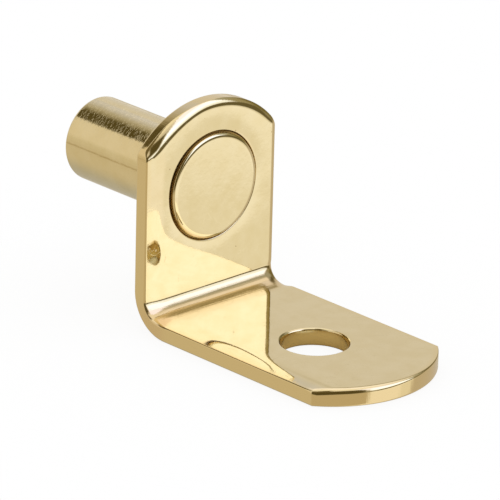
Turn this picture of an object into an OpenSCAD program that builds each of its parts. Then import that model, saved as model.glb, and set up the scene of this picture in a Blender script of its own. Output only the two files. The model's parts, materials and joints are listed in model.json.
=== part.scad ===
// Shelf support pin: a stamped L bracket with a headed peg riveted through its upright leg.
// The origin is on the peg's axis, on the back face of the upright leg, which lies against the
// cabinet wall. +X runs out along the shelf leg, +Z is up, and the part is symmetric about Y = 0.

/* [Plate] */
// Width of the plate
plate_w = 12.5; // [9:0.1:15]
// Thickness of the plate
plate_t = 1.35; // [0.8:0.05:2]
// Radius on the inside of the bend
bend_in_r = 1.8; // [0.8:0.05:3]
// Radius of the rolled edge round the plate's show faces
edge_r = 0.3; // [0.1:0.05:0.5]

/* [Upright leg] */
// Height of the upright leg above the peg's axis
leg_top = 6.35; // [5:0.05:9]
// Radius of the leg's round top
leg_top_r = 8.15; // [7.6:0.05:12]

/* [Shelf leg] */
// Drop from the peg's axis to the face that the shelf rests on
seat_drop = 8.85; // [7:0.05:14]
// Reach of the shelf leg from the wall to its free end
shelf_reach = 21.6; // [17:0.1:30]
// Radius of the free end
shelf_end_r = 8; // [7.6:0.1:12]

/* [Screw hole] */
// Diameter of the screw hole
hole_d = 5; // [3:0.1:6.5]
// Distance from the wall to the centre of the screw hole
hole_x = 12.4; // [9:0.1:16]
// Radius of the rolled rim on top of the screw hole
hole_rim_r = 0.12; // [0.05:0.01:0.3]

/* [Peg] */
// Diameter of the peg
peg_d = 6.35; // [5:0.05:8]
// Length of the peg behind the upright leg
peg_len = 11.2; // [8:0.1:16]
// Radius round the peg's free end
peg_end_r = 0.3; // [0.1:0.05:1]
// Diameter of the stem that passes through the leg
stem_d = 4.4; // [3:0.1:4.9]
// Gap all round the stem in its hole
stem_gap = 0.02; // [0.01:0.01:0.1]

/* [Head] */
// Diameter of the flattened head
head_d = 8.2; // [6.6:0.1:9]
// Height of the head above the leg
head_h = 0.26; // [0.2:0.01:0.6]
// Height of the straight wall at the head's rim
head_rim_h = 0.08; // [0.04:0.01:0.15]
// Width of the soft slope between the rim and the head's flat face
head_slope_w = 0.5; // [0.2:0.05:1]
// Width of the fine ring pressed into the leg round the head
ring_w = 0.12; // [0.05:0.01:0.3]
// Depth of the fine ring
ring_depth = 0.08; // [0.03:0.01:0.2]

/* [Hidden] */
brass = "#e2cb8c";
facets = 96;
// How far a cutting shape runs past the face that it cuts
over = 0.5;

bend_out_r = bend_in_r + plate_t;
// Centre of the bend, where both of its radii start
bend_x = bend_out_r;
bend_z = bend_in_r - seat_drop;
shelf_under = -seat_drop - plate_t;
peg_r = peg_d / 2;
stem_r = stem_d / 2;
head_r = head_d / 2;
hole_r = hole_d / 2;
// The slope of the head is an arc that starts level at the flat face and falls to the rim
head_fall = head_h - head_rim_h;
head_slope_r = (head_slope_w * head_slope_w + head_fall * head_fall) / (2 * head_fall);
head_flat_r = head_r - head_slope_w;

// Side view of the bent plate, in X and Z
module plate_profile() {
    translate([0, bend_z]) square([plate_t, leg_top - bend_z]);
    translate([bend_x, shelf_under]) square([shelf_reach - bend_x, plate_t]);
    translate([bend_x, bend_z]) intersection() {
        difference() {
            circle(bend_out_r, $fn = facets);
            circle(bend_in_r, $fn = facets);
        }
        translate([-bend_out_r, -bend_out_r]) square(bend_out_r);
    }
}

// What lies outside an outer edge of radius r whose arc is centred on the origin
module edge_waste(r) {
    difference() {
        square(r + over);
        circle(r, $fn = facets);
    }
}

// What lies outside a round end of radius r, beyond the level of its centre
module end_waste(r) {
    difference() {
        translate([-r - over, 0]) square([2 * (r + over), r + over]);
        circle(r, $fn = facets);
    }
}

// Turns a shape drawn in X and Y, and raised along Z, so that it lies in Y and Z, raised along X
module face_x() {
    rotate([90, 0, 90]) children();
}

// Turns a shape drawn in X and Y so that its X is the row's Y, its Y the row's X, raised along -Z
module face_z() {
    rotate([180, 0, 90]) children();
}

module both_sides() {
    children();
    mirror([0, 1, 0]) children();
}

// Trims the two ends of the plate round
module round_ends() {
    translate([-over, 0, leg_top - leg_top_r])
        face_x() linear_extrude(plate_t + 2 * over) end_waste(leg_top_r);
    translate([shelf_reach - shelf_end_r, 0, over - seat_drop])
        face_z() linear_extrude(plate_t + 2 * over) end_waste(shelf_end_r);
}

// Rolls the edges of the show faces: along both legs, round both ends and inside the bend
module rolled_edges() {
    half_w = plate_w / 2;
    both_sides() {
        translate([plate_t - edge_r, half_w - edge_r, bend_z])
            linear_extrude(leg_top - bend_z + over) edge_waste(edge_r);
        translate([bend_x, half_w - edge_r, -seat_drop - edge_r])
            face_x() linear_extrude(shelf_reach - bend_x + over) edge_waste(edge_r);
        translate([bend_x, 0, bend_z]) rotate([90, 0, 0]) rotate([0, 0, 180])
            rotate_extrude(angle = 90, $fn = facets)
                translate([bend_in_r + edge_r, half_w - edge_r]) mirror([1, 0]) edge_waste(edge_r);
    }
    translate([plate_t - edge_r, 0, leg_top - leg_top_r]) face_x()
        rotate_extrude(angle = 180, $fn = facets)
            translate([leg_top_r - edge_r, 0]) edge_waste(edge_r);
    translate([shelf_reach - shelf_end_r, 0, -seat_drop - edge_r]) rotate([0, 0, -90])
        rotate_extrude(angle = 180, $fn = facets)
            translate([shelf_end_r - edge_r, 0]) edge_waste(edge_r);
}

module screw_hole() {
    translate([hole_x, 0, shelf_under - over]) cylinder(h = plate_t + 2 * over, r = hole_r, $fn = facets);
    translate([hole_x, 0, -seat_drop - hole_rim_r]) rotate_extrude($fn = facets)
        translate([hole_r + hole_rim_r, 0]) mirror([1, 0]) edge_waste(hole_rim_r);
}

module stem_hole() {
    translate([-over, 0, 0]) rotate([0, 90, 0])
        cylinder(h = plate_t + 2 * over, r = stem_r + stem_gap, $fn = facets);
}

module pressed_ring() {
    translate([plate_t - ring_depth, 0, 0]) rotate([0, 90, 0]) difference() {
        cylinder(h = ring_depth + over, r = head_r + ring_w, $fn = facets);
        translate([0, 0, -over]) cylinder(h = ring_depth + 3 * over, r = head_r, $fn = facets);
    }
}

module bracket() {
    color(brass) difference() {
        rotate([90, 0, 0]) linear_extrude(plate_w, center = true) plate_profile();
        round_ends();
        rolled_edges();
        screw_hole();
        stem_hole();
        pressed_ring();
    }
}

// Half section of the peg's body, with its free end rounded
module peg_section() {
    square([peg_r, peg_len - peg_end_r]);
    square([peg_r - peg_end_r, peg_len]);
    translate([peg_r - peg_end_r, peg_len - peg_end_r]) circle(peg_end_r, $fn = facets);
}

// Half section of the head above the leg
module head_section() {
    square([head_flat_r, head_h]);
    intersection() {
        square([head_r, head_h]);
        translate([head_flat_r, head_h - head_slope_r]) circle(head_slope_r, $fn = facets);
    }
}

module pin() {
    color(brass) {
        rotate([0, -90, 0]) rotate_extrude($fn = facets) peg_section();
        rotate([0, 90, 0]) cylinder(h = plate_t, r = stem_r, $fn = facets);
        translate([plate_t, 0, 0]) rotate([0, 90, 0]) rotate_extrude($fn = facets) head_section();
    }
}

bracket();
pin();
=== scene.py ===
"""Looks of the shelf support pin: a stamped and bent plate with a headed peg riveted through it,
both brass plated and polished, on a white sheet in a light studio."""

import json
import math

import bmesh
import bpy
from mathutils import Matrix, Vector, noise
from mathutils.geometry import delaunay_2d_cdt

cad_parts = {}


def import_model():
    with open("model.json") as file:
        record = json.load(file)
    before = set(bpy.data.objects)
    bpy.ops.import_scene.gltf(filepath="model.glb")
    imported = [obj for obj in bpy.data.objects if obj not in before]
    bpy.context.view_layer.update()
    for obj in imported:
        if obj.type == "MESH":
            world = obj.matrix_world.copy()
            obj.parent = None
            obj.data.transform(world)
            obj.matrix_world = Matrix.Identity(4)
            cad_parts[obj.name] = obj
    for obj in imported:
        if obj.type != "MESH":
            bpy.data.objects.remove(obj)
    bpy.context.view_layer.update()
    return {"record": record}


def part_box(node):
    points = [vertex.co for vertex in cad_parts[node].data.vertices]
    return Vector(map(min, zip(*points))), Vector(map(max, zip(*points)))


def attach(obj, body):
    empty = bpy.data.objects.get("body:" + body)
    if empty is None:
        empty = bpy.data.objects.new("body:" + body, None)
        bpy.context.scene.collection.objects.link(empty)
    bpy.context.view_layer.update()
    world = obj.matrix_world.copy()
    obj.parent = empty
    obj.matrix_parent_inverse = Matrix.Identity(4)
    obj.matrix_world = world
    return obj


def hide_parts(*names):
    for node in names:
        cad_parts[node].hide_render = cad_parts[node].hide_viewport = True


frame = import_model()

# Lengths are in millimetres, and MM turns them into the scene's metres.
MM = 0.001

# ---------------------------------------------------------------- sizes from the frame
PLATE_LOW, PLATE_HIGH = (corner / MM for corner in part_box("bracket"))
PIN_LOW, PIN_HIGH = (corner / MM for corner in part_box("pin"))
MOUNTS = {mount["name"]: mount for mount in frame["record"]["mounts"]}

SEAT_Z = MOUNTS["shelf_seat"]["pos_m"][2] / MM
PLATE_T = SEAT_Z - PLATE_LOW.z
HALF_W = PLATE_HIGH.y
HOLE_X = MOUNTS["screw_hole"]["pos_m"][0] / MM
HOLE_R = MOUNTS["screw_hole"]["dims"]["r_mm"]
PEG_R = MOUNTS["peg"]["dims"]["r_mm"]
PEG_END_X = PIN_LOW.x
HEAD_R = PIN_HIGH.z
HEAD_TOP_X = PIN_HIGH.x

# ---------------------------------------------------------------- sizes of the two pieces' form
# These are as in the CAD. The frame doesn't give them.
BEND_OUT_R = 3.15
TOP_ARC_R = 8.15
END_ARC_R = 8.0
STEM_R = 2.2
STEM_GAP = 0.02
PEG_END_R = 0.3

# A curve that turns unevenly is given by its turns: (angle reached in degrees, radius up to there).
# The bend's inner face turns so, as a pressed bend does.
BEND_TURNS = ((15, 0.08), (56, 1.36), (70, 0.6), (80, 3.0), (90, 5.0))

# The rims of the plate's two arcs turn from the cut towards the show face. The top rim starts with a
# sharp corner, which turns less on the near side (-Y), and the end rim's radii shrink to END_RIM_FAR
# of their size on the far side (+Y). A span says how far towards that side, from the plate's middle,
# the change starts and ends.
TOP_RIM = ((53, 0.05), (70, 0.95), (90, 1.29))
TOP_RIM_NEAR, TOP_RIM_SPAN = 28, (0.5, 4.5)
END_RIM = ((35, 0.45), (75, 0.22), (90, 1.0))
END_RIM_FAR, END_RIM_SPAN = 0.25, (-3.0, 3.5)
ARC_BLEND = 0.35

# Each straight edge has a tight roll, which is a quarter ellipse: (width, drop). Inside the bend the
# metal bulges, so the rolls there are wider.
NEAR_ROLL, FAR_ROLL, SHELF_FAR_ROLL = (0.16, 0.10), (0.62, 0.15), (0.12, 0.08)
NEAR_BEND_ROLL, FAR_BEND_ROLL = (0.45, 0.20), (1.05, 0.40)

# The near side also dips in a broad crown: its slope, how far from the edge it starts and is full,
# and the share of its slope along the shelf leg.
CROWN_SLOPE, CROWN_FROM, CROWN_FULL = 0.20, 1.95, 0.28
SHELF_CROWN = 0.78

# The corners between the straight sides and the arcs are rounded off over these lengths.
TOP_CORNER_CUT, END_CORNER_CUT, LEAST_CUT = 0.5, 0.07, 0.02
BACK_EDGE_R = 0.22
HOLE_RIM, HOLE_BACK_RIM = 0.17, 0.20

# The plate dips a little all round the riveted head, and its faces are faintly uneven.
DISH_DEPTH, DISH_W = 0.0235, 0.6
WAVE_BROAD, WAVE_FINE = 0.003, 0.002

# The head is drawn a hair smaller than in the CAD, a little oval, and off the peg's axis, down and
# across. Its rim turns from its edge towards its top.
HEAD_EDGE_R = HEAD_R - 0.16
HEAD_DOWN, HEAD_ACROSS, HEAD_WIDEN = 0.16, 0.10, 1.03
HEAD_RIM = ((45, 0.08), (76, 0.28), (90, 1.0))
HEAD_RIM_W = 0.395

# The groove round the head, from the plate's face to under the head: (distance outside the head's
# edge, depth). It is painted dark, as shade, where it is deeper than the depth given below.
GROOVE_W = 0.42
GROOVE = ((GROOVE_W, 0), (0.24, 0), (0.21, 0.006), (0.19, 0.02), (0.17, 0.05), (0.15, 0.09),
          (0.12, 0.12), (0.08, 0.13), (0.02, 0.13), (-0.03, 0.13), (-0.05, 0.12), (-0.07, 0), (-0.14, 0))
SHADE_DEPTH = 0.04
# The head's foot, from the plate's face down into the groove and up to the rim: (distance inside the
# head's edge, height over the plate, painted shade)
HEAD_FOOT = ((0.09, 0, 1.0), (0.03, -0.1, 1.0), (0.01, -0.1, 1.0), (0, -0.06, 1.0), (0, 0.04, 0.3))

# ---------------------------------------------------------------- spacing of the meshes
GRID = 0.35
UPRIGHT_STEPS, BEND_STEPS, SHELF_STEPS = 30, 48, 44
ARC_STEPS, CORNER_STEPS = 44, 5
HOLE_SIDES, HEAD_SIDES = 96, 240
LATHE_STEP = 0.3
# The bend's fine steps run on past it along the sides, and the grid has a column close to each end
# of the bend, so that the flats are shaded flat.
BEND_MARGIN, BEND_GUARD = 0.6, 0.04
FILL_INSET = FAR_BEND_ROLL[0] + 0.1
BACK_FILL_INSET = BACK_EDGE_R + 0.03
# The cut's marks fade out this far from the edge, and the back face's waves reach this deep.
EDGE_MARKS_W, BACK_LAYER = 0.5, 0.3


# ---------------------------------------------------------------- the flat blank and its bend
def turns_length(turns):
    """Length of a curve given by its turns."""
    length, reached = 0.0, 0
    for end, radius in turns:
        length += radius * math.radians(end - reached)
        reached = end
    return length


def bend_path(travel):
    """Point (x, z) and angle on the bend's inner face after this much travel from its start."""
    x, z, angle = 0.0, 0.0, 0.0
    for end, radius in BEND_TURNS:
        turn = min(math.radians(end) - angle, travel / radius)
        x += radius * (math.cos(angle) - math.cos(angle + turn))
        z -= radius * (math.sin(angle + turn) - math.sin(angle))
        angle += turn
        travel -= radius * turn
        if travel <= 0:
            break
    return Vector((x, z)), angle


# The blank lies flat: u runs down the upright leg, round the bend and out along the shelf leg, y
# across the plate, and n is the depth under the show face. u is 0 where the bend starts, and the
# peg's axis is at z 0.
BEND_U = turns_length(BEND_TURNS)
BEND_REACH, _ = bend_path(BEND_U)
BEND_START = Vector((PLATE_T, SEAT_Z - BEND_REACH.y))
BEND_END_X = BEND_START.x + BEND_REACH.x
OUTER_CENTRE = Vector((BEND_OUT_R, PLATE_LOW.z + BEND_OUT_R))
TOP_CENTRE_U = BEND_START.y - PLATE_HIGH.z + TOP_ARC_R
END_CENTRE_U = BEND_U + PLATE_HIGH.x - BEND_END_X - END_ARC_R
TOP_CORNER_U = TOP_CENTRE_U - math.sqrt(TOP_ARC_R ** 2 - HALF_W ** 2)
END_CORNER_U = END_CENTRE_U + math.sqrt(END_ARC_R ** 2 - HALF_W ** 2)
HEAD_U = BEND_START.y
HOLE_U = BEND_U + HOLE_X - BEND_END_X


def inner_face(u):
    """Point (x, z) on the plate's show face at this u, and the direction into the plate."""
    if u < 0:
        return Vector((PLATE_T, BEND_START.y - u)), Vector((-1, 0))
    if u > BEND_U:
        return Vector((BEND_END_X + u - BEND_U, SEAT_Z)), Vector((0, -1))
    step, angle = bend_path(u)
    return BEND_START + step, Vector((-math.cos(angle), -math.sin(angle)))


def thickness_at(face, inward):
    """Plate thickness at a point of the show face, up to the back face's straights and outer bend."""
    offset = face - OUTER_CENTRE
    along = offset.dot(inward)
    square = along ** 2 + BEND_OUT_R ** 2 - offset.length_squared
    reach = -along + math.sqrt(max(0.0, square))
    back = face + inward * reach
    if back.x > OUTER_CENTRE.x:
        return (face.y - PLATE_LOW.z) / -inward.y
    if back.y > OUTER_CENTRE.y:
        return face.x / -inward.x
    return reach


def bend_blank(u, y, n):
    """Where a point of the flat blank lies once the plate is bent."""
    face, inward = inner_face(u)
    point = face + inward * (n / PLATE_T) * thickness_at(face, inward)
    return Vector((point.x, y, point.y))


# ---------------------------------------------------------------- rings of points
def split(start, end, count):
    """Values from start to end, both included, in this many equal steps."""
    return [start + (end - start) * i / count for i in range(count + 1)]


def steps(start, end, spacing):
    """Values from start to end, both included, in equal steps of about this spacing."""
    return split(start, end, max(1, round(abs(end - start) / spacing)))


def quarter(count):
    """Angles of a quarter turn, both ends included, in this many equal steps."""
    return split(0, math.pi / 2, count)


def circle(centre, radius, count):
    """A ring of (u, y) round a centre."""
    return [Vector((centre.x + radius * math.cos(a), centre.y + radius * math.sin(a)))
            for a in (2 * math.pi * i / count for i in range(count))]


def rounded(a, corner, b):
    """Inner points of a corner between a and b, rounded off by a quadratic curve."""
    return [a * (1 - t) ** 2 + corner * 2 * t * (1 - t) + b * t ** 2
            for t in (i / CORNER_STEPS for i in range(1, CORNER_STEPS))]


def side_steps(first, last):
    """u of the points along a straight side: even steps along each leg, and finer ones at the bend."""
    before, after = -BEND_MARGIN, BEND_U + BEND_MARGIN
    return (split(first, before, UPRIGHT_STEPS)[:-1] + steps(before, after, BEND_U / BEND_STEPS)
            + split(after, last, SHELF_STEPS)[1:])


def outline(inset):
    """The blank's outline moved inwards, as a closed ring of (u, y) with the same count for any inset."""
    half = HALF_W - inset
    top_r, end_r = TOP_ARC_R - inset, END_ARC_R - inset
    top_cut, end_cut = (max(cut - inset, LEAST_CUT) for cut in (TOP_CORNER_CUT, END_CORNER_CUT))
    top_angle, end_angle = math.asin(half / top_r), math.asin(half / end_r)
    top_u = TOP_CENTRE_U - top_r * math.cos(top_angle)
    end_u = END_CENTRE_U + end_r * math.cos(end_angle)
    side = side_steps(top_u + top_cut, end_u - end_cut)
    near = [Vector((u, -half)) for u in side]
    far = [Vector((u, half)) for u in reversed(side)]
    end_swing, top_swing = end_angle - end_cut / end_r, top_angle - top_cut / top_r
    end_arc = [Vector((END_CENTRE_U + end_r * math.cos(a), end_r * math.sin(a)))
               for a in split(-end_swing, end_swing, ARC_STEPS)]
    top_arc = [Vector((TOP_CENTRE_U - top_r * math.cos(a), top_r * math.sin(a)))
               for a in split(top_swing, -top_swing, ARC_STEPS)]
    ring = near + rounded(near[-1], Vector((end_u, -half)), end_arc[0])
    ring += end_arc + rounded(end_arc[-1], Vector((end_u, half)), far[0])
    ring += far + rounded(far[-1], Vector((top_u, half)), top_arc[0])
    ring += top_arc + rounded(top_arc[-1], Vector((top_u, -half)), near[0])
    return ring


def within(u, y, inset):
    """True if (u, y) lies inside the outline moved inwards by inset, or on it."""
    slack = 1e-4
    return (abs(y) < HALF_W - inset + slack
            and (u > TOP_CENTRE_U or math.hypot(u - TOP_CENTRE_U, y) < TOP_ARC_R - inset + slack)
            and (u < END_CENTRE_U or math.hypot(u - END_CENTRE_U, y) < END_ARC_R - inset + slack))


# ---------------------------------------------------------------- form of the show face
def smooth(value, low, high):
    """Smooth step of value from low to high."""
    t = min(1.0, max(0.0, (value - low) / (high - low)))
    return t * t * (3 - 2 * t)


def roll_depth(inset, width, drop):
    """Depth of a quarter ellipse's roll at this distance from the edge."""
    if inset >= width:
        return 0.0
    return drop * (1 - math.sqrt(max(0.0, 1 - (1 - inset / width) ** 2)))


def rim_depth(inset, turns):
    """Depth of a rim at this distance from the edge, for a rim given by its turns."""
    depth, reached, tilt = 0.0, 0.0, 0.0
    for end, radius in turns:
        end = math.radians(end)
        width = radius * (math.cos(tilt) - math.cos(end))
        if inset < reached + width:
            here = math.acos(math.cos(tilt) - max(0.0, inset - reached) / radius)
            depth += radius * (math.sin(end) - math.sin(here))
        reached += width
        tilt = end
    return depth


def arc_rim_depth(u, y, inset):
    """Depth of the rim along the blank's two arcs."""
    if u < 0:
        corner, radius = TOP_RIM[0]
        corner += (TOP_RIM_NEAR - corner) * smooth(-y, *TOP_RIM_SPAN)
        return rim_depth(inset, ((corner, radius),) + TOP_RIM[1:])
    size = 1 + (END_RIM_FAR - 1) * smooth(y, *END_RIM_SPAN)
    return rim_depth(inset, tuple((end, radius * size) for end, radius in END_RIM))


def arc_share(u):
    """1 along the blank's two arcs, 0 along its straight sides, smooth between them."""
    return smooth(max(TOP_CORNER_U - u, u - END_CORNER_U), -ARC_BLEND, ARC_BLEND)


def in_bend(u):
    """1 in the middle of the bend, falling to 0 just outside it."""
    return math.exp(-((u - 0.48 * BEND_U) / (0.45 * BEND_U)) ** 4)


def edge_depth(u, y, inset):
    """How far the show face dips at a point this far inside the plate's outline."""
    share = arc_share(u)
    far = FAR_ROLL if u < BEND_U / 2 else SHELF_FAR_ROLL
    straight, bent = (NEAR_ROLL, NEAR_BEND_ROLL) if y < 0 else (far, FAR_BEND_ROLL)
    bulge = in_bend(u)
    side = (1 - bulge) * roll_depth(inset, *straight) + bulge * roll_depth(inset, *bent)
    return share * arc_rim_depth(u, y, inset) + (1 - share) * side


def crown_depth(u, y):
    """Depth of the near side's broad crown, whose slope rises smoothly towards the edge."""
    inset = HALF_W + y
    if inset > CROWN_FROM:
        return 0.0
    span = CROWN_FROM - CROWN_FULL
    t = min(1.0, (CROWN_FROM - inset) / span)
    leg = min(1.0, max(0.0, u / BEND_U))
    slope = CROWN_SLOPE * (1 + (SHELF_CROWN - 1) * leg)
    return slope * (span * (t ** 3 - t ** 4 / 2) + max(0.0, CROWN_FULL - inset))


def wave(u, y, seed):
    """Faint unevenness of the stamped faces, broad and fine, so that what they mirror wavers a little."""
    broad = noise.noise(Vector((u / 5.0, y / 4.0, 3.1 + seed)))
    fine = noise.noise(Vector((u / 1.7, y / 1.7, 8.7 + seed)))
    return WAVE_BROAD * broad + WAVE_FINE * fine


def show_depth(u, y):
    """The show face's own form away from its edges: the crown, the dish round the head, faint waves."""
    reach = max(0.0, math.hypot(u - HEAD_U, y) - HEAD_R)
    return crown_depth(u, y) + DISH_DEPTH * math.exp(-reach / DISH_W) + wave(u, y, 0)


# ---------------------------------------------------------------- the plate's mesh
def grid_points(holes):
    """Points of an even grid on the blank, clear of its border and of its holes, which are each
    (ring, centre, radius)."""
    inset = FILL_INSET + 0.6 * GRID
    along = [p.x for p in outline(inset)]
    columns = (steps(min(along), -BEND_GUARD, GRID) + split(0, BEND_U, BEND_STEPS)
               + steps(BEND_U + BEND_GUARD, max(along), GRID))
    points = [Vector((u, y)) for u in columns for y in steps(inset - HALF_W, HALF_W - inset, GRID)
              if within(u, y, FILL_INSET + 0.5 * GRID)]
    return [p for p in points
            if all((p - centre).length > radius + 0.5 * GRID for _, centre, radius in holes)]


def is_metal(point, holes, inset):
    """True if the point is inside the outline moved inwards by inset and outside the holes' rings."""
    clear_of_holes = all((point - centre).length >= radius * math.cos(math.pi / len(ring))
                         for ring, centre, radius in holes)
    return clear_of_holes and within(point.x, point.y, inset)


class Blank:
    """Builds the plate's mesh in the flat, and bends it at the end."""

    def __init__(self):
        self.bm = bmesh.new()
        self.edge = self.bm.verts.layers.float.new("edge")
        # painted shade in the groove round the head
        self.groove_shade = self.bm.verts.layers.float.new("groove_shade")
        # the bend's mask, for its press lines and for painted shade that dims the bend's highlight
        self.press_and_shade = self.bm.verts.layers.float.new("press_and_shade")
        self.grain = self.bm.verts.layers.float_vector.new("grain")

    def vertex(self, point, depth, edge=0.0, groove_shade=0.0, along=None):
        """One vertex. Its grain is its place in the flat, with along for u where that is given."""
        u, y = point
        v = self.bm.verts.new((u, y, depth))
        v[self.edge] = edge
        v[self.groove_shade] = groove_shade
        v[self.grain] = (u if along is None else along, y, depth)
        return v

    def ring(self, points, depth, edge=0.0, groove_shade=0.0, along=None):
        """One ring of vertices. The depth is a number or a function of (u, y), and along is None or has
        each vertex's length along the outline."""
        lengths = along or [None] * len(points)
        return [self.vertex(p, depth(*p) if callable(depth) else depth, edge, groove_shade, length)
                for p, length in zip(points, lengths)]

    def chain(self, rings):
        """Faces between each ring and the next, which all have the same count."""
        for a, b in zip(rings, rings[1:]):
            for i in range(len(a)):
                j = (i + 1) % len(a)
                self.bm.faces.new((a[i], a[j], b[j], b[i]))

    def fill(self, border, inset, holes, depth):
        """Fills a face with an even grid, from its border ring, which lies inset from the outline, to its
        holes, which are each (ring, centre, radius)."""
        loops = [border] + [ring for ring, _, _ in holes]
        verts = [v for loop in loops for v in loop]
        edges = []
        for loop in loops:
            base = len(edges)
            edges += [(base + i, base + (i + 1) % len(loop)) for i in range(len(loop))]
        points = [Vector(v.co[:2]) for v in verts] + grid_points(holes)
        coords, _, faces, origins, _, _ = delaunay_2d_cdt(points, edges, [], 0, 1e-6)
        made = []
        for co, origin in zip(coords, origins):
            known = [i for i in origin if i < len(verts)]
            made.append(verts[known[0]] if known else self.vertex(co, depth))
        triangles = []
        for face in faces:
            middle = sum((coords[i] for i in face), Vector((0, 0))) / len(face)
            if is_metal(middle, holes, inset):
                triangles.append(self.bm.faces.new([made[i] for i in face]))
        bmesh.ops.join_triangles(self.bm, faces=triangles, angle_face_threshold=0.5,
                                 angle_shape_threshold=0.9)

    def emboss(self):
        """Adds the faces' own form. The show face's fades through the thickness, down to the back."""
        for v in self.bm.verts:
            u, y, n = v.co
            if n < PLATE_T - BACK_LAYER:
                v.co.z = n + max(0.0, 1 - n / PLATE_T) * show_depth(u, y)
            else:
                v.co.z = n - abs(wave(u, y, 7))

    def bend(self, name):
        """Bends the blank, and makes it an object."""
        for v in self.bm.verts:
            u, y, n = v.co
            v[self.press_and_shade] = in_bend(u)
            v.co = bend_blank(u, y, n) * MM
        return to_object(self.bm, name)


def to_object(bm, name):
    """Makes a mesh a smooth object of the scene."""
    bmesh.ops.recalc_face_normals(bm, faces=bm.faces)
    mesh = bpy.data.meshes.new(name)
    bm.to_mesh(mesh)
    bm.free()
    mesh.polygons.foreach_set("use_smooth", [True] * len(mesh.polygons))
    obj = bpy.data.objects.new(name, mesh)
    bpy.context.scene.collection.objects.link(obj)
    return obj


def outer_edge(blank):
    """The plate's outer edge. Returns the border rings of its show face and its back."""
    base = outline(0)
    along = [0.0]
    for a, b in zip(base, base[1:]):
        along.append(along[-1] + (b - a).length)

    # the rings are closest together by the cut, where the rolls are tightest
    insets = [0.12 * (1 - math.cos(a)) for a in quarter(8)] + steps(0.15, FAR_BEND_ROLL[0], 0.045)
    show = [blank.ring(outline(inset), lambda u, y, inset=inset: edge_depth(u, y, inset),
                       edge=max(0.0, 1 - inset / EDGE_MARKS_W), along=along)
            for inset in insets]
    show.append(blank.ring(outline(FILL_INSET), 0))
    back = []
    for angle in quarter(6):
        inset = BACK_EDGE_R * (1 - math.cos(angle))
        depth = PLATE_T - BACK_EDGE_R * (1 - math.sin(angle))
        back.append(blank.ring(outline(inset), depth, edge=1.0 if angle < 1 else 0.5, along=along))
    back.append(blank.ring(outline(BACK_FILL_INSET), PLATE_T))
    cut = blank.ring(base, lambda u, y: edge_depth(u, y, 0) + 0.03, edge=1.0, along=along)
    blank.chain(list(reversed(show)) + [cut] + back)
    return show[-1], back[-1]


def screw_hole(blank):
    """The screw hole with its small rolled rims. Returns it as a hole of the show face and of the back."""
    centre = Vector((HOLE_U, 0))
    show_r, back_r = HOLE_R + HOLE_RIM + 0.25, HOLE_R + HOLE_BACK_RIM + 0.03
    # (radius, depth, marks of the cut), with flat rings beyond both rims
    profile = [(show_r, 0, 0), (HOLE_R + HOLE_RIM + 0.02, 0, 0)]
    profile += [(HOLE_R + HOLE_RIM * (1 - math.sin(a)), HOLE_RIM * (1 - math.cos(a)), a / math.pi)
                for a in quarter(6)]
    profile += [(HOLE_R + HOLE_BACK_RIM * (1 - math.cos(a)),
                 PLATE_T - HOLE_BACK_RIM * (1 - math.sin(a)), 0.5) for a in quarter(6)]
    profile.append((back_r, PLATE_T, 0))
    rings = [blank.ring(circle(centre, radius, HOLE_SIDES), depth, edge)
             for radius, depth, edge in profile]
    blank.chain(rings)
    return (rings[0], centre, show_r), (rings[-1], centre, back_r)


def head_groove(blank):
    """The groove round the head, and the stem's hole under it. Returns the groove as a hole of the show
    face, and the stem's hole as one of the back."""
    stem = Vector((HEAD_U, 0))
    head = stem + Vector((HEAD_DOWN, HEAD_ACROSS))
    rings = []
    for out, depth in GROOVE:
        widen = HEAD_WIDEN if out < GROOVE_W else 1
        oval = [Vector((p.x, HEAD_ACROSS + widen * (p.y - HEAD_ACROSS)))
                for p in circle(head, HEAD_EDGE_R + out, HEAD_SIDES)]
        # the deep part of the groove gets painted shade
        rings.append(blank.ring(oval, depth, groove_shade=1.0 if depth > SHADE_DEPTH else 0.0))
    stem_r, bevel = STEM_R + STEM_GAP, 0.05
    for radius, depth in ((stem_r + bevel, 0), (stem_r, bevel),
                          (stem_r, PLATE_T - bevel), (stem_r + bevel, PLATE_T)):
        rings.append(blank.ring(circle(stem, radius, HEAD_SIDES), depth))
    blank.chain(rings)
    return (rings[0], head, HEAD_EDGE_R + GROOVE_W), (rings[-1], stem, stem_r + bevel)


def plate():
    """The bent plate: rolled show edges, a plain back, the screw hole and the riveted stem's hole."""
    blank = Blank()
    show_border, back_border = outer_edge(blank)
    show_hole, back_hole = screw_hole(blank)
    groove, stem_hole = head_groove(blank)
    blank.fill(show_border, FILL_INSET, (show_hole, groove), 0)
    blank.fill(back_border, BACK_FILL_INSET, (back_hole, stem_hole), PLATE_T)
    blank.emboss()
    return blank.bend("plate")


# ---------------------------------------------------------------- the pin's mesh
def lathe(profile, sides, name):
    """A closed body turned about the X axis. The profile is (x, radius, painted shade) from pole to pole.
    """
    bm = bmesh.new()
    groove_shade = bm.verts.layers.float.new("groove_shade")
    rings = []
    for x, radius, shade_amount in profile:
        ring = []
        for i in range(1 if radius == 0 else sides):
            angle = 2 * math.pi * i / sides
            v = bm.verts.new((x * MM, radius * math.cos(angle) * MM, radius * math.sin(angle) * MM))
            v[groove_shade] = shade_amount
            ring.append(v)
        rings.append(ring)
    for a, b in zip(rings, rings[1:]):
        for i in range(sides):
            j = (i + 1) % sides
            corners = [a[i % len(a)], a[j % len(a)], b[j % len(b)], b[i % len(b)]]
            bm.faces.new(list(dict.fromkeys(corners)))
    return to_object(bm, name)


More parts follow.
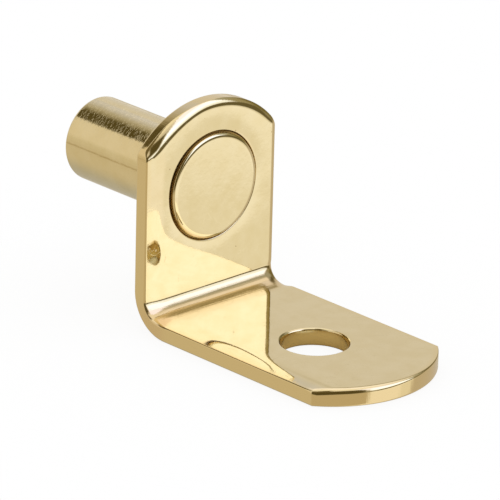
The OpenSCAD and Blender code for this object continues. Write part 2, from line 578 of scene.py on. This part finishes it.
def peg_profile():
    """The peg from the middle of its far end to its shoulder on the back of the plate."""
    profile = [(PEG_END_X, r, 0.0) for r in steps(0, PEG_R - PEG_END_R - 0.02, LATHE_STEP)]
    profile += [(PEG_END_X + PEG_END_R * (1 - math.cos(a)), PEG_R - PEG_END_R * (1 - math.sin(a)), 0.0)
                for a in quarter(7)]
    profile += [(x, PEG_R, 0.0) for x in steps(PEG_END_X + PEG_END_R + 0.03, -0.06, LATHE_STEP)]
    return profile + [(-0.02, PEG_R - 0.01, 0.0), (0, PEG_R - 0.04, 0.0), (0, STEM_R, 0.0)]


def head_profile():
    """The head from the stem, out along the plate and down into the groove, to the middle of its top."""
    profile = [(PLATE_T, STEM_R, 0.0)]
    profile += [(PLATE_T + height, HEAD_EDGE_R - inside, groove_shade) for inside, height, groove_shade in HEAD_FOOT]
    for inset in (HEAD_RIM_W * (1 - math.cos(a)) for a in quarter(30)):
        profile.append((HEAD_TOP_X - rim_depth(inset, HEAD_RIM), HEAD_EDGE_R - inset, 0.0))
    flat_r = HEAD_EDGE_R - HEAD_RIM_W - 0.04
    return profile + [(HEAD_TOP_X, r, 0.0) for r in steps(flat_r, 0, LATHE_STEP)]


def pin():
    """The peg, its stem and its flattened head, as one turned body with the head moved off its axis."""
    piece = lathe(peg_profile() + head_profile(), HEAD_SIDES, "peg")
    for v in piece.data.vertices:
        x, y, z = v.co / MM
        over_plate = x > PLATE_T + 0.02
        in_groove = x > PLATE_T - 0.11 and math.hypot(y, z) > STEM_R + 0.05
        if over_plate or in_groove:
            v.co = Vector((x, HEAD_ACROSS + HEAD_WIDEN * y, z - HEAD_DOWN)) * MM
    return piece


# ---------------------------------------------------------------- camera
# The view is turned from -Y towards +X, raised and rolled, in degrees.
VIEW_AZIMUTH, VIEW_ELEVATION, VIEW_ROLL = 46.327, 21.291, 1.451
VIEW_TARGET, VIEW_DISTANCE = Vector((5.476, 0, -3.914)), 395.2
LENS, SENSOR_W = 396, 36


def camera():
    """A long lens, a little above the part, between its near side and its shelf leg's end."""
    azimuth, elevation, roll = (math.radians(a) for a in (VIEW_AZIMUTH, VIEW_ELEVATION, VIEW_ROLL))
    back = Vector((math.sin(azimuth) * math.cos(elevation), -math.cos(azimuth) * math.cos(elevation),
                   math.sin(elevation)))
    level = Vector((math.cos(azimuth), math.sin(azimuth), 0))
    upright = back.cross(level)
    right = level * math.cos(roll) + upright * math.sin(roll)
    up = upright * math.cos(roll) - level * math.sin(roll)
    data = bpy.data.cameras.new("camera")
    data.sensor_width = SENSOR_W
    data.lens = LENS
    data.clip_start = 0.01
    obj = bpy.data.objects.new("camera", data)
    place = Matrix((right, up, back)).transposed().to_4x4()
    place.translation = (VIEW_TARGET + back * VIEW_DISTANCE) * MM
    obj.matrix_world = place
    bpy.context.scene.collection.objects.link(obj)
    bpy.context.scene.camera = obj


# ---------------------------------------------------------------- nodes
class Nodes:
    """A node tree with short calls for what its materials need."""

    def __init__(self, owner):
        owner.use_nodes = True
        self.tree = owner.node_tree

    def add(self, kind, **settings):
        """A new node with these settings."""
        node = self.tree.nodes.new(kind)
        for name, value in settings.items():
            setattr(node, name, value)
        return node

    def feed(self, socket, value):
        """Links another node's output to the socket, or sets the socket to a constant."""
        if isinstance(value, bpy.types.NodeSocket):
            self.tree.links.new(value, socket)
        else:
            socket.default_value = value

    def feed_all(self, node, values):
        """Feeds the node's inputs in turn, and returns the node."""
        for socket, value in zip(node.inputs, values):
            self.feed(socket, value)
        return node

    def attribute(self, name, output="Fac"):
        """A layer of the mesh, or 0 where the mesh has no such layer."""
        return self.add("ShaderNodeAttribute", attribute_name=name).outputs[output]

    def math(self, operation, *values):
        """Result of a math node."""
        return self.feed_all(self.add("ShaderNodeMath", operation=operation), values).outputs[0]

    def vector(self, operation, *values):
        """Result of a vector math node: a number for LENGTH, and otherwise a vector."""
        node = self.feed_all(self.add("ShaderNodeVectorMath", operation=operation), values)
        return node.outputs["Value" if operation == "LENGTH" else "Vector"]

    def xyz(self, vector):
        """The three numbers of a vector."""
        return self.feed_all(self.add("ShaderNodeSeparateXYZ"), (vector,)).outputs

    def ramp(self, value, low, high, to_low=0.0, to_high=1.0):
        """Smooth step of value from low to high."""
        node = self.add("ShaderNodeMapRange", interpolation_type="SMOOTHSTEP")
        return self.feed_all(node, (value, low, high, to_low, to_high)).outputs[0]

    def mix(self, factor, a, b):
        """Colour a where the factor is 0, and colour b where it is 1."""
        node = self.add("ShaderNodeMix", data_type="RGBA")
        self.feed(node.inputs[0], factor)
        for socket, value in ((node.inputs[6], a), (node.inputs[7], b)):
            self.feed(socket, value if isinstance(value, bpy.types.NodeSocket) else (*value, 1))
        return node.outputs[2]

    def mix_shaders(self, factor, a, b):
        """Shader a where the factor is 0, and shader b where it is 1."""
        return self.feed_all(self.add("ShaderNodeMixShader"), (factor, a, b)).outputs[0]


# ---------------------------------------------------------------- studio
# Tones of the table round the part, as the metal sees it, and of the studio's dark corners
TABLE_LIT, TABLE_SIDE, TABLE_WARM = (0.875, 0.862, 0.83), (0.635, 0.58, 0.475), (0.57, 0.50, 0.38)
TABLE_DIM, TABLE_BACK = (0.58, 0.53, 0.47), (0.49, 0.48, 0.45)
DARK, DARKEST = (0.14, 0.12, 0.06), (0.10, 0.08, 0.03)

# The studio's panels in the order that they are laid on: azimuths from and to, elevations from and
# to, softness at the first and last azimuth and at both elevations, and colour. Angles are degrees.
# Azimuth 0 is -Y, 90 is +X and 180 is +Y, so the camera stands at 46, with its right at 136, the far
# end at 226 and its left at 316. Where panels lie inside one another, a tone shades off in steps.
PANELS = (
    # the walls: pale, warmer on the left and cooler high at the far end
    ((-9, 369), (-2, 60), (1, 1, 8), (0.72, 0.70, 0.69)),
    ((296, 342), (-2, 42), (4, 9, 4), (0.77, 0.72, 0.64)),
    ((296, 342), (-5, 6), (4, 9, 5), (0.66, 0.61, 0.50)),
    ((231, 262), (28, 44), (4, 4, 4), (0.65, 0.67, 0.80)),
    # the table: dim, with a dark line on the left, and lit on the right, under the softbox
    ((-9, 369), (-95, -2), (1, 1, 1.5), TABLE_SIDE),
    ((294, 334), (-11.5, -8.5), (6, 9, 1), (0.48, 0.41, 0.29)),
    ((-9, 93), (-95, -2), (1, 1, 1.5), TABLE_WARM),
    ((200, 292), (-95, -32), (10, 22, 9), TABLE_BACK),
    ((145, 212), (-60, -2), (3, 8, 1.5), TABLE_DIM),
    ((92, 146), (-95, -2), (3, 3, 1.5), TABLE_LIT),
    ((92, 130), (-60, -2), (3, 3, 1.5), (0.99, 0.97, 0.99)),
    ((92, 146), (-20.5, -15), (3, 3, 0.4), (1.02, 1.03, 1.08)),
    # the dark side where the camera stands, and a dark patch high between the far end and the left
    ((2, 76), (-13, 47), (8, 6, 4), (0.34, 0.31, 0.24)),
    ((24, 88), (-9, 44), (8, 4, 4), DARKEST),
    ((247, 297), (31, 60), (12, 2, 5), (0.46, 0.43, 0.36)),
    ((262, 297), (33, 56), (9, 2, 4), (0.23, 0.20, 0.12)),
    ((270, 296), (34, 53), (6, 2, 4), DARKEST),
    # a light high at the far end, and a dark patch high over the camera
    ((200, 237), (38, 80), (4, 3, 4), (1.12, 1.12, 1.3)),
    ((4, 46), (44, 79), (6, 5, 4), (0.16, 0.13, 0.06)),
    # a dim ledge under that light
    ((205, 227), (27, 33), (8, 3, 2), (0.36, 0.33, 0.24)),
    # the wall between the softbox and the far end: dark, with a grey band and a light ceiling over it
    ((141, 205), (-2, 30), (1, 12, 6), (0.36, 0.34, 0.24)),
    ((158, 200), (-2, 27), (6, 12, 5), (0.19, 0.17, 0.07)),
    ((141, 205), (24, 45), (1, 12, 5), (0.41, 0.43, 0.41)),
    ((176, 212), (24, 40), (8, 5, 4), DARK),
    ((157, 198), (45.5, 62), (4, 8, 2), (1.0, 1.0, 1.1)),
    # the softbox on the right, dimmer at its top and bottom, and the dark gap beside and under it
    ((93, 140), (7, 62), (4, 3, 1.5), (1.42, 1.66, 2.6)),
    ((93, 140), (7, 15.5), (4, 3, 1.5), (1.12, 1.27, 1.65)),
    ((93, 140), (38, 62), (4, 3, 2), (1.25, 1.32, 2.05)),
    ((84, 97), (-9, 7), (4, 4, 1.5), (0.30, 0.28, 0.21)),
    ((97, 158), (-10, 5), (4, 6, 2.5), DARK),
)

# The sheet's size, where it fades out, how much it glows for the camera, and its shade in the hole
SHEET_R, SHEET_X = 75, 6
FADE_X, FADE_FROM, FADE_TO = 8, 18, 45
SHEET_GLOW = 0.88
HOLE_SHADE, HOLE_LIT = (0.56, 0.46, 0.27), (0.90, 0.92, 0.82)


def span(n, value, low, high, soft_low, soft_high):
    """Mask of the values from low to high, with a soft step at each end."""
    return n.math("MULTIPLY", n.ramp(value, low - soft_low, low + soft_low),
                  n.ramp(value, high - soft_high, high + soft_high, 1.0, 0.0))


def azimuth_of(n, x, y):
    """Azimuth in degrees, from 0 to 360: 0 is -Y, 90 is +X and 180 is +Y."""
    turn = n.math("MULTIPLY", n.math("ARCTAN2", x, n.math("MULTIPLY", y, -1.0)), 180 / math.pi)
    return n.math("FLOORED_MODULO", turn, 360.0)


def world():
    """A plain white background, on which the polished metal also sees the panels of a studio."""
    studio = bpy.data.worlds.new("studio")
    bpy.context.scene.world = studio
    n = Nodes(studio)
    x, y, z = n.xyz(n.add("ShaderNodeTexCoord").outputs["Generated"])
    azimuth = azimuth_of(n, x, y)
    elevation = n.math("MULTIPLY", n.math("ARCSINE", z), 180 / math.pi)
    in_metal = n.add("ShaderNodeLightPath").outputs["Is Glossy Ray"]
    colour = (1, 1, 1)
    for (first, last), (low, high), (soft_first, soft_last, soft), tone in PANELS:
        sideways = span(n, azimuth, first, last, soft_first, soft_last)
        upright = span(n, elevation, low, high, soft, soft)
        mask = n.math("MULTIPLY", in_metal, n.math("MULTIPLY", sideways, upright))
        colour = n.mix(mask, colour, tone)
    n.feed(n.tree.nodes["Background"].inputs["Color"], colour)


def sheet_material():
    """White paper that fades into the white background. Glossy rays meet it only inside the screw hole,
    where it lies in golden shade with a lit side."""
    material = bpy.data.materials.new("white_sheet")
    n = Nodes(material)
    path = n.add("ShaderNodeLightPath").outputs
    place = n.add("ShaderNodeNewGeometry").outputs["Position"]
    sheet_z = PLATE_LOW.z * MM
    from_hole = n.vector("LENGTH", n.vector("SUBTRACT", place, (HOLE_X * MM, 0, sheet_z)))
    from_middle = n.vector("LENGTH", n.vector("SUBTRACT", place, (FADE_X * MM, 0, sheet_z)))
    lit = n.ramp(n.xyz(place)[0], (HOLE_X + 0.7) * MM, (HOLE_X + 2.0) * MM)
    shade = n.mix(lit, HOLE_SHADE, HOLE_LIT)

    paper = n.tree.nodes["Principled BSDF"]
    n.feed(paper.inputs["Base Color"], n.mix(path["Is Glossy Ray"], (1, 1, 1), shade))
    paper.inputs["Roughness"].default_value = 1
    paper.inputs["Specular IOR Level"].default_value = 0
    glow = n.math("MULTIPLY", path["Is Camera Ray"], SHEET_GLOW)
    backdrop = n.mix_shaders(glow, paper.outputs[0], n.add("ShaderNodeEmission").outputs[0])
    past_hole = n.ramp(from_hole, 1.2 * HOLE_R * MM, 1.5 * HOLE_R * MM)
    clear = n.math("MAXIMUM", n.ramp(from_middle, FADE_FROM * MM, FADE_TO * MM),
                   n.math("MULTIPLY", path["Is Glossy Ray"], past_hole))
    faded = n.mix_shaders(clear, backdrop, n.add("ShaderNodeBsdfTransparent").outputs[0])
    n.feed(n.tree.nodes["Material Output"].inputs["Surface"], faded)
    return material


def floor():
    """A round white sheet under the part."""
    bm = bmesh.new()
    bmesh.ops.create_circle(bm, cap_ends=True, segments=96, radius=SHEET_R * MM)
    bmesh.ops.translate(bm, verts=bm.verts, vec=(SHEET_X * MM, 0, PLATE_LOW.z * MM))
    sheet = to_object(bm, "floor")
    sheet.data.materials.append(sheet_material())


# ---------------------------------------------------------------- brass plating
BRASS, BRASS_PALE = (0.85, 0.70, 0.385), (0.885, 0.74, 0.43)
# the second tone is painted shade along the bend, which dims the highlight there
EDGE_TONE, BEND_SHADE_TONE = (0.86, 0.68, 0.35), (0.83, 0.63, 0.33)
# the second tone is painted shade, for the groove round the head and the head's foot in it
SPECK_TONE, GROOVE_SHADE_TONE = (0.45, 0.30, 0.12), (0.42, 0.28, 0.09)
ROUGHNESS = 0.035


def texture(n, point, scale, detail=2.0):
    """Noise from 0 to 1 round 0.5. The scale is a number, or one for each axis, in cycles a millimetre."""
    if not isinstance(scale, tuple):
        scale = (scale, scale, scale)
    node = n.add("ShaderNodeTexNoise")
    n.feed(node.inputs["Vector"], n.vector("MULTIPLY", point, scale))
    node.inputs["Scale"].default_value = 1
    node.inputs["Detail"].default_value = detail
    return node.outputs[0]


def hairlines(n, point, along, across, thin):
    """Fine lines that wander through the noise's middle value, broken up by a coarser noise."""
    lines = n.math("ABSOLUTE", n.math("SUBTRACT", texture(n, point, (across, along, across), 1), 0.5))
    broken = n.ramp(texture(n, point, 0.8, 1), 0.52, 0.62)
    return n.math("MULTIPLY", n.ramp(lines, 0, thin, 1.0, 0.0), broken)


def pits(n, point, spacing, radius, share):
    """Small scattered pits: this share of a Voronoi pattern's cells have a dot at their centre."""
    node = n.add("ShaderNodeTexVoronoi")
    n.feed(node.inputs["Vector"], point)
    node.inputs["Scale"].default_value = 1 / spacing
    draw = n.feed_all(n.add("ShaderNodeSeparateColor"), (node.outputs["Color"],)).outputs[0]
    dots = n.ramp(node.outputs["Distance"], 0.5 * radius / spacing, radius / spacing, 1.0, 0.0)
    return n.math("MULTIPLY", dots, n.math("GREATER_THAN", draw, 1 - share))


def total(n, *parts):
    """Sum of (factor, value) pairs."""
    result = 0.0
    for factor, value in parts:
        result = n.math("MULTIPLY_ADD", value, factor, result)
    return result


def brass(name, marks):
    """Polished brass plating. marks(n, point) gives the piece's own marks: (height in mm, dullness)."""
    material = bpy.data.materials.new(name)
    n = Nodes(material)
    bsdf = n.tree.nodes["Principled BSDF"]
    point = n.vector("MULTIPLY", n.add("ShaderNodeTexCoord").outputs["Object"], (1 / MM, 1 / MM, 1 / MM))
    # the first layer is painted shade in the groove round the head
    groove_shade, edge, press_and_shade = (n.attribute(layer) for layer in ("groove_shade", "edge", "press_and_shade"))
    specks = pits(n, point, spacing=1.6, radius=0.09, share=0.28)
    scratches = hairlines(n, point, along=0.9, across=1.1, thin=0.006)
    clouds = n.ramp(texture(n, point, 0.7, 4), 0.3, 0.7)
    height, dull = marks(n, point)

    colour = n.mix(clouds, BRASS, BRASS_PALE)
    # two of these tones are painted shade: one in the groove round the head, and one along the bend, which
    # dims the highlight there
    for mask, tone in ((edge, EDGE_TONE), (press_and_shade, BEND_SHADE_TONE),
                       (n.math("MULTIPLY", specks, 0.6), SPECK_TONE), (groove_shade, GROOVE_SHADE_TONE)):
        colour = n.mix(mask, colour, tone)
    n.feed(bsdf.inputs["Base Color"], colour)
    bsdf.inputs["Metallic"].default_value = 1
    rough = total(n, (0.025, clouds), (0.03, edge), (0.32, groove_shade), (0.10, scratches), (0.2, specks))
    n.feed(bsdf.inputs["Roughness"], n.math("ADD", n.math("ADD", rough, dull), ROUGHNESS))

    peel = texture(n, point, 2.6, 2)
    relief = total(n, (0.0011, peel), (-0.0008, scratches), (-0.004, specks))
    bump = n.add("ShaderNodeBump")
    bump.inputs["Distance"].default_value = MM
    n.feed(bump.inputs["Height"], n.math("ADD", relief, height))
    n.feed(bsdf.inputs["Normal"], bump.outputs[0])
    return material


def plate_marks(n, point):
    """Press lines along the bend, and the shear's striations across the cut edges."""
    press_and_shade, edge = n.attribute("press_and_shade"), n.attribute("edge")
    pressed = n.math("MULTIPLY", press_and_shade, texture(n, point, (9, 0.3, 9), 3))
    sheared = n.math("MULTIPLY", edge, texture(n, n.attribute("grain", "Vector"), (5, 0, 0.8), 3))
    height = total(n, (0.008, pressed), (0.005, sheared))
    return height, total(n, (0.07, press_and_shade), (0.03, sheared))


def peg_marks(n, point):
    """Turned rings round the peg behind the plate, with small dents and scuffs."""
    behind_plate = n.ramp(n.xyz(point)[0], -0.1, 0.1, 1.0, 0.0)
    rings = texture(n, point, (12, 0.6, 0.6), 3)
    scuffs = n.ramp(texture(n, point, (18, 2.2, 2.2), 2), 0.56, 0.64)
    dents = texture(n, point, (1.6, 0.9, 0.9), 3)
    height = n.math("MULTIPLY", behind_plate, total(n, (0.0016, rings), (-0.0022, scuffs), (0.008, dents)))
    return height, n.math("MULTIPLY", n.math("MULTIPLY", behind_plate, scuffs), 0.10)


# ---------------------------------------------------------------- scene
camera()
world()
floor()
plate_piece = plate()
peg_piece = pin()
for piece, node, slot, marks in ((plate_piece, "bracket", "plate_brass", plate_marks),
                                 (peg_piece, "pin", "peg_brass", peg_marks)):
    piece.data.materials.append(brass(slot, marks))
    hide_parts(node)
    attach(piece, "root")

bpy.context.scene.view_settings.view_transform = "Standard"
